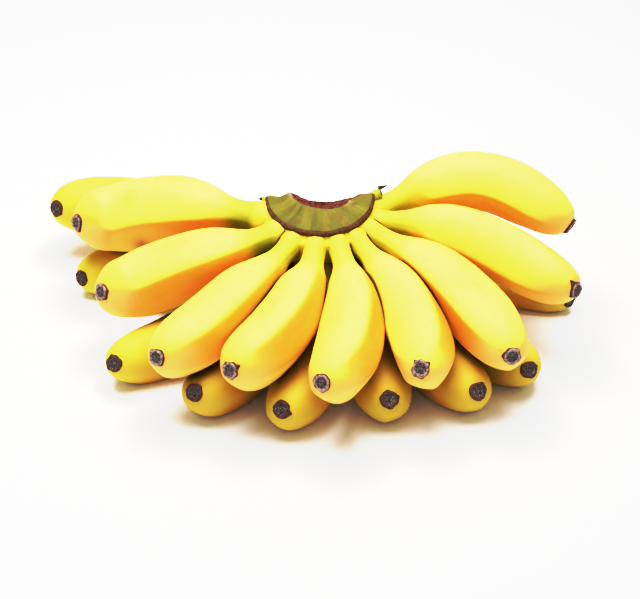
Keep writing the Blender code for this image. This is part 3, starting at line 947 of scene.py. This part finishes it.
class Nodes:
    """Short ways to add the nodes of one material."""

    def __init__(self, material):
        self.tree = material.node_tree

    def add(self, kind, **settings):
        node = self.tree.nodes.new(kind)
        for key, value in settings.items():
            setattr(node, key, value)
        return node

    def link(self, source, target):
        self.tree.links.new(source, target)

    def put(self, value, target):
        if isinstance(value, bpy.types.NodeSocket):
            self.link(value, target)
        else:
            target.default_value = value

    def attribute(self, name):
        return self.add("ShaderNodeAttribute", attribute_name=name)

    def number(self, name):
        return self.attribute(name).outputs["Fac"]

    def vector(self, name, scale=(1, 1, 1)):
        stretch = self.add("ShaderNodeMapping")
        stretch.inputs["Scale"].default_value = scale
        self.link(self.attribute(name).outputs["Vector"], stretch.inputs["Vector"])
        return stretch.outputs["Vector"]

    def noise(self, vector, size, detail=3.0, rough=0.5):
        """Noise from 0 to 1, with lumps of about the given size in metres."""
        node = self.add("ShaderNodeTexNoise")
        self.link(vector, node.inputs["Vector"])
        node.inputs["Scale"].default_value = 1 / size
        node.inputs["Detail"].default_value = detail
        node.inputs["Roughness"].default_value = rough
        return node.outputs["Fac"]

    def steps(self, value, start, end, low=0.0, high=1.0):
        """Goes softly from low, where the value is at its start, to high at its end."""
        node = self.add("ShaderNodeMapRange", interpolation_type="SMOOTHSTEP")
        self.put(value, node.inputs["Value"])
        node.inputs["From Min"].default_value = start
        node.inputs["From Max"].default_value = end
        node.inputs["To Min"].default_value = low
        node.inputs["To Max"].default_value = high
        return node.outputs["Result"]

    def math(self, operation, a, b=0.5):
        node = self.add("ShaderNodeMath", operation=operation)
        self.put(a, node.inputs[0])
        self.put(b, node.inputs[1])
        return node.outputs["Value"]

    def times(self, a, b):
        return self.math("MULTIPLY", a, b)

    def swayed(self, name, vector):
        """A stored number that noise moves up or down, by half of its sway at most."""
        size, amount = SWAYS[name]
        off = self.math("SUBTRACT", self.noise(vector, size), 0.5)
        return self.math("ADD", self.number(name), self.times(off, amount))

    def mix(self, share, a, b):
        """Colour a where the share is 0 and colour b where it is 1. A name stands for one of TINTS."""
        node = self.add("ShaderNodeMix", data_type="RGBA")
        self.put(share, node.inputs["Factor"])
        self.put(tint(a), node.inputs["A"])
        self.put(tint(b), node.inputs["B"])
        return node.outputs["Result"]

    def spots(self, vector, size, keep, seed):
        """Small round dots, one for some of the cells of the given size."""
        cells = self.add("ShaderNodeTexVoronoi")
        self.link(vector, cells.inputs["Vector"])
        cells.inputs["Scale"].default_value = 1 / size
        dot = self.steps(cells.outputs["Distance"], *DOT_EDGE)
        drawn = self.math("FRACT", self.math("ADD", cells.outputs["Color"], seed))
        return self.times(dot, self.math("LESS_THAN", drawn, keep))

    def relief(self, height, distance, strength=1.0):
        node = self.add("ShaderNodeBump")
        node.inputs["Strength"].default_value = strength
        node.inputs["Distance"].default_value = distance
        self.link(height, node.inputs["Height"])
        return node.outputs["Normal"]


def colour(red, green, blue):
    """A colour given as it looks on screen, 0 to 255, as the shader's linear values."""
    screen = np.array([red, green, blue]) / 255
    linear = np.where(screen <= 0.04045, screen / 12.92, ((screen + 0.055) / 1.055) ** 2.4)
    return (*linear.tolist(), 1.0)


def tint(value):
    """The colour of that name in TINTS. What isn't a name is a colour or a socket already."""
    return colour(*TINTS[value]) if isinstance(value, str) else value


def peel_material(row):
    tints = {place: colour(*value) for place, value in PEEL_TINTS[row].items()}
    material, shader = new_material(row + "_peel", 0.6, DULL_SPECULAR)
    n = Nodes(material)
    skin = n.vector("skin")
    rise = n.swayed("rise", skin)
    # Painted light and shade by facing: lemon on top as a lit face with sheen, a warmer painted shade beyond
    # the ridges, and paler where the peel faces down.
    base = n.mix(n.steps(n.swayed("side_shade", skin), 0.1, 0.9), tints["top"], tints["side"])
    base = n.mix(n.steps(rise, *UNDER_RISES), base, tints["under"])
    blush = n.noise(n.vector("skin", LONG_LUMPS), 0.012)
    base = n.mix(n.steps(blush, 0.5, 0.8, 0, COVER["blush"]), base, tints["side"])
    mottled = n.noise(n.vector("skin", OVAL_LUMPS), 0.0035, 4.0, 0.6)
    base = n.mix(n.steps(mottled, 0.45, 0.75, 0, COVER["mottling"]), base, "mottling")
    # The tip's sides and underside take the tip colour, painted light from the floor below, with an olive
    # hint all round.
    along = n.swayed("along", skin)
    base = n.mix(n.times(n.steps(along, *TIP_STATIONS), n.steps(rise, *TIP_RISES)), base, tints["tip"])
    base = n.mix(n.steps(along, *OLIVE_STATIONS, 0, TIP_OLIVE[row]), base, "olive")
    # The neck is more lemon, and green, less so on top: below, the green stands also for painted shade and
    # turns greyer.
    base = n.mix(n.steps(along, *NECK_STATIONS, 0, COVER["neck"]), base, "neck")
    green = n.mix(n.steps(rise, *GREEN_TURNS), "neck_green", "neck_green_shade")
    base = n.mix(n.times(n.number("green"), n.steps(rise, *GREEN_RISES, GREEN_ON_TOP)), base, green)
    # Small marks, bruises and a brown edge, the amber of the lower row, partly painted shade under the upper
    # row, and painted shade in the creases where fingers press on each other.
    base = n.mix(n.times(n.spots(skin, MARK_CELL, MARKED_CELLS, MARK_SEED), COVER["mark"]), base, "mark")
    base = n.mix(n.number("bruise"), base, "bruise")
    base = n.mix(n.times(n.number("amber_and_shade"), COVER["amber_and_shade"]), base, "amber_and_shade")
    # Painted shade near a neighbour, darkest where two fingers touch.
    crease_shade = n.number("crease_shade")
    base = n.mix(n.times(crease_shade, COVER["crease_shade"]), base, tints["crease_shade"])
    base = n.mix(n.steps(crease_shade, *DEEP_CREASE_SHADE, 0, COVER["deep_crease_shade"]), base, "deep_crease_shade")
    n.link(base, shader.inputs["Base Color"])
    fibres = n.noise(n.vector("skin", LONG_LUMPS), 0.0012, 2.0)
    n.link(n.relief(fibres, 0.00008, 0.4), shader.inputs["Normal"])
    n.link(n.steps(fibres, 0.2, 0.8, 0.56, 0.66), shader.inputs["Roughness"])
    return material


def dried_material(row):
    tints = {place: colour(*value) for place, value in DRIED_TINTS[row].items()}
    material, shader = new_material(row + "_dried", 0.75)
    n = Nodes(material)
    skin = n.vector("skin")
    inward = n.number("inward")
    patches = n.noise(skin, 0.0016, 3.0, 0.6)
    specks = n.noise(skin, 0.0006, 3.0, 0.7)
    # From the outside over the rim to the flecked middle.
    rim = n.mix(n.steps(patches, 0.35, 0.60), tints["scar"], tints["rim"])
    base = n.mix(n.steps(inward, 0.36, 0.44), "dried_outside", rim)
    middle = n.mix(n.steps(specks, 0.46, 0.62), tints["middle"], "dried_fleck")
    base = n.mix(n.steps(n.math("ADD", inward, n.times(specks, 0.12)), 0.66, 0.74), base, middle)
    base = n.mix(n.number("spike"), base, "dried_point")
    n.link(base, shader.inputs["Base Color"])
    n.link(n.relief(specks, 0.0003), shader.inputs["Normal"])
    return material


def crown_material():
    material, shader = new_material("crown", 0.7, DULL_SPECULAR)
    n = Nodes(material)
    skin = n.vector("skin")
    streak = n.noise(n.vector("polar", (1, 1, 0.35)), 0.0040, 4.0, 0.6)
    collar = n.mix(n.noise(skin, 0.006), "collar", "collar_deep")
    flank = n.mix(n.steps(streak, 0.32, 0.68), "flank_dark", "flank_light")
    flank = n.mix(n.steps(n.noise(skin, 0.008, 4.0, 0.6), 0.44, 0.72, 0, 0.7), flank, "flank_brown")
    ring = n.mix(n.steps(n.noise(skin, 0.0014, 4.0, 0.7), 0.3, 0.7), "ring_dark", "ring_light")
    cut = n.mix(n.steps(n.noise(skin, 0.0016, 4.0, 0.7), 0.35, 0.65), "cut_dark", "cut_light")
    base = n.mix(n.number("flank"), collar, flank)
    base = n.mix(n.number("ring"), base, ring)
    base = n.mix(n.number("lip"), base, "lip")
    base = n.mix(n.number("edge"), base, "edge")
    base = n.mix(n.number("cut"), base, cut)
    n.link(base, shader.inputs["Base Color"])
    n.link(n.relief(n.noise(skin, 0.0008, 3.0, 0.6), 0.0002), shader.inputs["Normal"])
    return material


def stub_material(name, darkens):
    """Green skin that turns dark past this share of the peg's length."""
    material, shader = new_material(name, 0.5)
    n = Nodes(material)
    skin = n.vector("skin")
    green = n.mix(n.steps(n.noise(skin, 0.002), 0.3, 0.7), "stub_green", "stub_yellow")
    base = n.mix(n.steps(n.number("inward"), darkens, darkens + DARKENING), green, "stub_end")
    n.link(base, shader.inputs["Base Color"])
    n.link(n.relief(n.noise(skin, 0.0008), 0.0002), shader.inputs["Normal"])
    return material


def stub_tip_material():
    material, shader = new_material("stub_tip", 0.8)
    n = Nodes(material)
    skin = n.vector("skin")
    base = n.mix(n.steps(n.noise(skin, 0.0008), 0.3, 0.7), "stub_tip_dark", "stub_tip_light")
    n.link(base, shader.inputs["Base Color"])
    n.link(n.relief(n.noise(skin, 0.0005), 0.0003), shader.inputs["Normal"])
    return material


def look_at(obj, place, target):
    obj.location = place
    obj.rotation_euler = (Vector(target) - Vector(place)).to_track_quat("-Z", "Y").to_euler()


def make_camera():
    data = bpy.data.cameras.new("camera")
    data.sensor_fit = "HORIZONTAL"
    data.sensor_width = SENSOR
    data.lens = VIEW_FOCAL / VIEW_WIDTH * SENSOR
    data.clip_end = VIEW_REACH
    camera = bpy.data.objects.new("camera", data)
    bpy.context.scene.collection.objects.link(camera)
    e = math.radians(VIEW_ELEVATION)
    place = VIEW_TARGET + VIEW_DISTANCE * np.array((0, -math.cos(e), math.sin(e)))
    look_at(camera, place.tolist(), VIEW_TARGET.tolist())
    bpy.context.scene.camera = camera


def make_floor():
    material, shader = new_material("pale_floor", 0.6)
    shader.inputs["Base Color"].default_value = (1, 1, 1, 1)
    mesh = bpy.data.meshes.new("floor")
    half = FLOOR_HALF
    mesh.from_pydata([(-half, -half, 0), (half, -half, 0), (half, half, 0), (-half, half, 0)], [], [range(4)])
    mesh.materials.append(material)
    floor = bpy.data.objects.new("floor", mesh)
    bpy.context.scene.collection.objects.link(floor)


def make_light():
    world = bpy.data.worlds.new("studio")
    bpy.context.scene.world = world
    world.use_nodes = True
    background = world.node_tree.nodes["Background"]
    background.inputs["Color"].default_value = (1, 1, 1, 1)
    background.inputs["Strength"].default_value = SKY_STRENGTH
    data = bpy.data.lights.new("key", "AREA")
    data.shape = "DISK"
    data.size = LAMP_SIZE
    data.energy = LAMP_POWER
    lamp = bpy.data.objects.new("key", data)
    bpy.context.scene.collection.objects.link(lamp)
    look_at(lamp, LAMP_PLACE, LAMP_TARGET)


def set_tones():
    view = bpy.context.scene.view_settings
    view.view_transform = "Standard"
    view.use_curve_mapping = True
    mapping = view.curve_mapping
    mapping.white_level = (TONE_WHITE,) * 3
    combined = mapping.curves[3].points
    for light, tone in TONES:
        point = combined.new(light / TONE_WHITE, tone)
        point.handle_type = "AUTO_CLAMPED"
    mapping.update()


def main():
    make_camera()
    make_floor()
    make_light()
    set_tones()
    peels = {row: peel_material(row) for row in ("upper", "lower")}
    dried = {row: dried_material(row) for row in ("upper", "lower")}
    bodies = [Body(finger) for finger in FINGERS]
    for index, body in enumerate(bodies):
        others = [other for other in bodies if other is not body]
        peel_piece(body, others, peels[body.finger.row], SEED_STEP * index + PEEL_SEED)
        dried_end_piece(body, dried[body.finger.row], SEED_STEP * index + END_SEED)
    crown_piece(crown_material())
    stub = stub_material("stub", STUB_DARKENS)
    bud = stub_material("bud", BUD_DARKENS)
    tip = stub_tip_material()
    peg_piece("right_stub", STUB_POINTS, STUB_RADII, stub, STUB_SEED)
    peg_piece("left_bud", BUD_POINTS, BUD_RADII, bud, BUD_SEED)
    peg_piece("right_stub_tip", TIP_POINTS, TIP_RADII, tip, TIP_SEED, "stub_dried_tip")


main()
